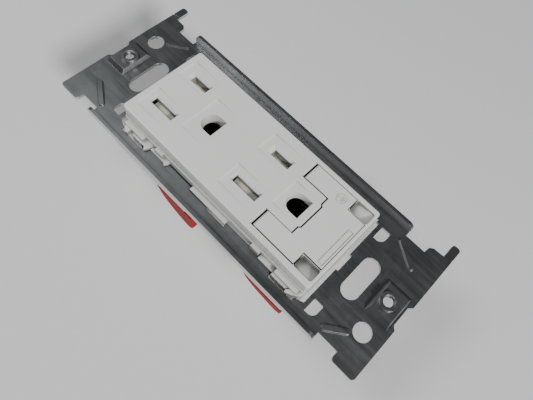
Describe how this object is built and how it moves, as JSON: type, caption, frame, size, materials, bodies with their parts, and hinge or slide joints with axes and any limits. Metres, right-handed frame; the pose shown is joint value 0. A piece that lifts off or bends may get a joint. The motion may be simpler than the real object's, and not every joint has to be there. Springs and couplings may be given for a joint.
{
  "type": "duplex wall receptacle",
  "caption": "Grounded duplex wall receptacle on a steel mounting strap, with a hinged door over an earth wire terminal and push-in wire terminals at the back.",
  "frame": {"origin": "centre of the strap at its back face, which seats on the wall, midway between the cover-plate screws", "axes": "+Z out of the face towards the plug, +Y towards the upper end as installed"},
  "size_m": [0.0462, 0.1122, 0.0323],
  "materials": {
    "strap_steel": "dull galvanised",
    "cover_white": "semi-gloss",
    "door_white": "semi-gloss",
    "body_plastic": "satin",
    "contact_brass": "satin",
    "spring_steel": "bright",
    "button_plastic": "semi-gloss",
    "shutter_plastic": "satin",
    "retainer_plastic": "satin",
    "lever_red": "semi-gloss"
  },
  "bodies": {
    "housing": {"mounting_strap": "strap_steel", "front_cover": "cover_white", "rear_body": "body_plastic", "neutral_contact_bar": "contact_brass", "hot_contact_bar": "contact_brass", "earth_contact_bar": "contact_brass", "neutral_upper_wire_spring": "spring_steel", "neutral_lower_wire_spring": "spring_steel", "hot_upper_wire_spring": "spring_steel", "hot_lower_wire_spring": "spring_steel", "earth_rear_wire_spring": "spring_steel", "earth_door_wire_spring": "spring_steel", "upper_shutter_spring": "spring_steel", "lower_shutter_spring": "spring_steel", "upper_shutter_retainer": "retainer_plastic", "lower_shutter_retainer": "retainer_plastic"},
    "earth_door": {"earth_door": "door_white"},
    "upper_shutter": {"upper_shutter": "shutter_plastic"},
    "lower_shutter": {"lower_shutter": "shutter_plastic"},
    "earth_release_button": {"earth_release_button": "button_plastic"},
    "neutral_upper_release_lever": {"neutral_upper_release_lever": "lever_red"},
    "neutral_lower_release_lever": {"neutral_lower_release_lever": "lever_red"},
    "hot_upper_release_lever": {"hot_upper_release_lever": "lever_red"},
    "hot_lower_release_lever": {"hot_lower_release_lever": "lever_red"}
  },
  "joints": [
    {"name": "earth_door_hinge", "type": "hinge", "parent": "housing", "child": "earth_door", "pos_m": [0, -0.0146, 0.00725], "axis": [-1, 0, 0], "range_deg": [0, 95]},
    {"name": "upper_shutter_slide", "type": "slide", "parent": "housing", "child": "upper_shutter", "axis": [1, 0, 0], "range_m": [0, 0.0028], "stiffness_N_per_m": 120, "springref_m": -0.002, "deforming": ["upper_shutter_spring"]},
    {"name": "lower_shutter_slide", "type": "slide", "parent": "housing", "child": "lower_shutter", "axis": [1, 0, 0], "range_m": [0, 0.0028], "stiffness_N_per_m": 120, "springref_m": -0.002, "deforming": ["lower_shutter_spring"]},
    {"name": "neutral_upper_release_slide", "type": "slide", "parent": "housing", "child": "neutral_upper_release_lever", "axis": [0, 0, -1], "range_m": [0, 0.002], "stiffness_N_per_m": 600, "springref_m": -0.001, "deforming": ["neutral_upper_wire_spring"]},
    {"name": "neutral_lower_release_slide", "type": "slide", "parent": "housing", "child": "neutral_lower_release_lever", "axis": [0, 0, -1], "range_m": [0, 0.002], "stiffness_N_per_m": 600, "springref_m": -0.001, "deforming": ["neutral_lower_wire_spring"]},
    {"name": "hot_upper_release_slide", "type": "slide", "parent": "housing", "child": "hot_upper_release_lever", "axis": [0, 0, -1], "range_m": [0, 0.002], "stiffness_N_per_m": 600, "springref_m": -0.001, "deforming": ["hot_upper_wire_spring"]},
    {"name": "hot_lower_release_slide", "type": "slide", "parent": "housing", "child": "hot_lower_release_lever", "axis": [0, 0, -1], "range_m": [0, 0.002], "stiffness_N_per_m": 600, "springref_m": -0.001, "deforming": ["hot_lower_wire_spring"]},
    {"name": "earth_release_slide", "type": "slide", "parent": "housing", "child": "earth_release_button", "axis": [0, 0, -1], "range_m": [0, 0.0018], "stiffness_N_per_m": 400, "springref_m": -0.001, "deforming": ["earth_door_wire_spring"]}
  ]
}
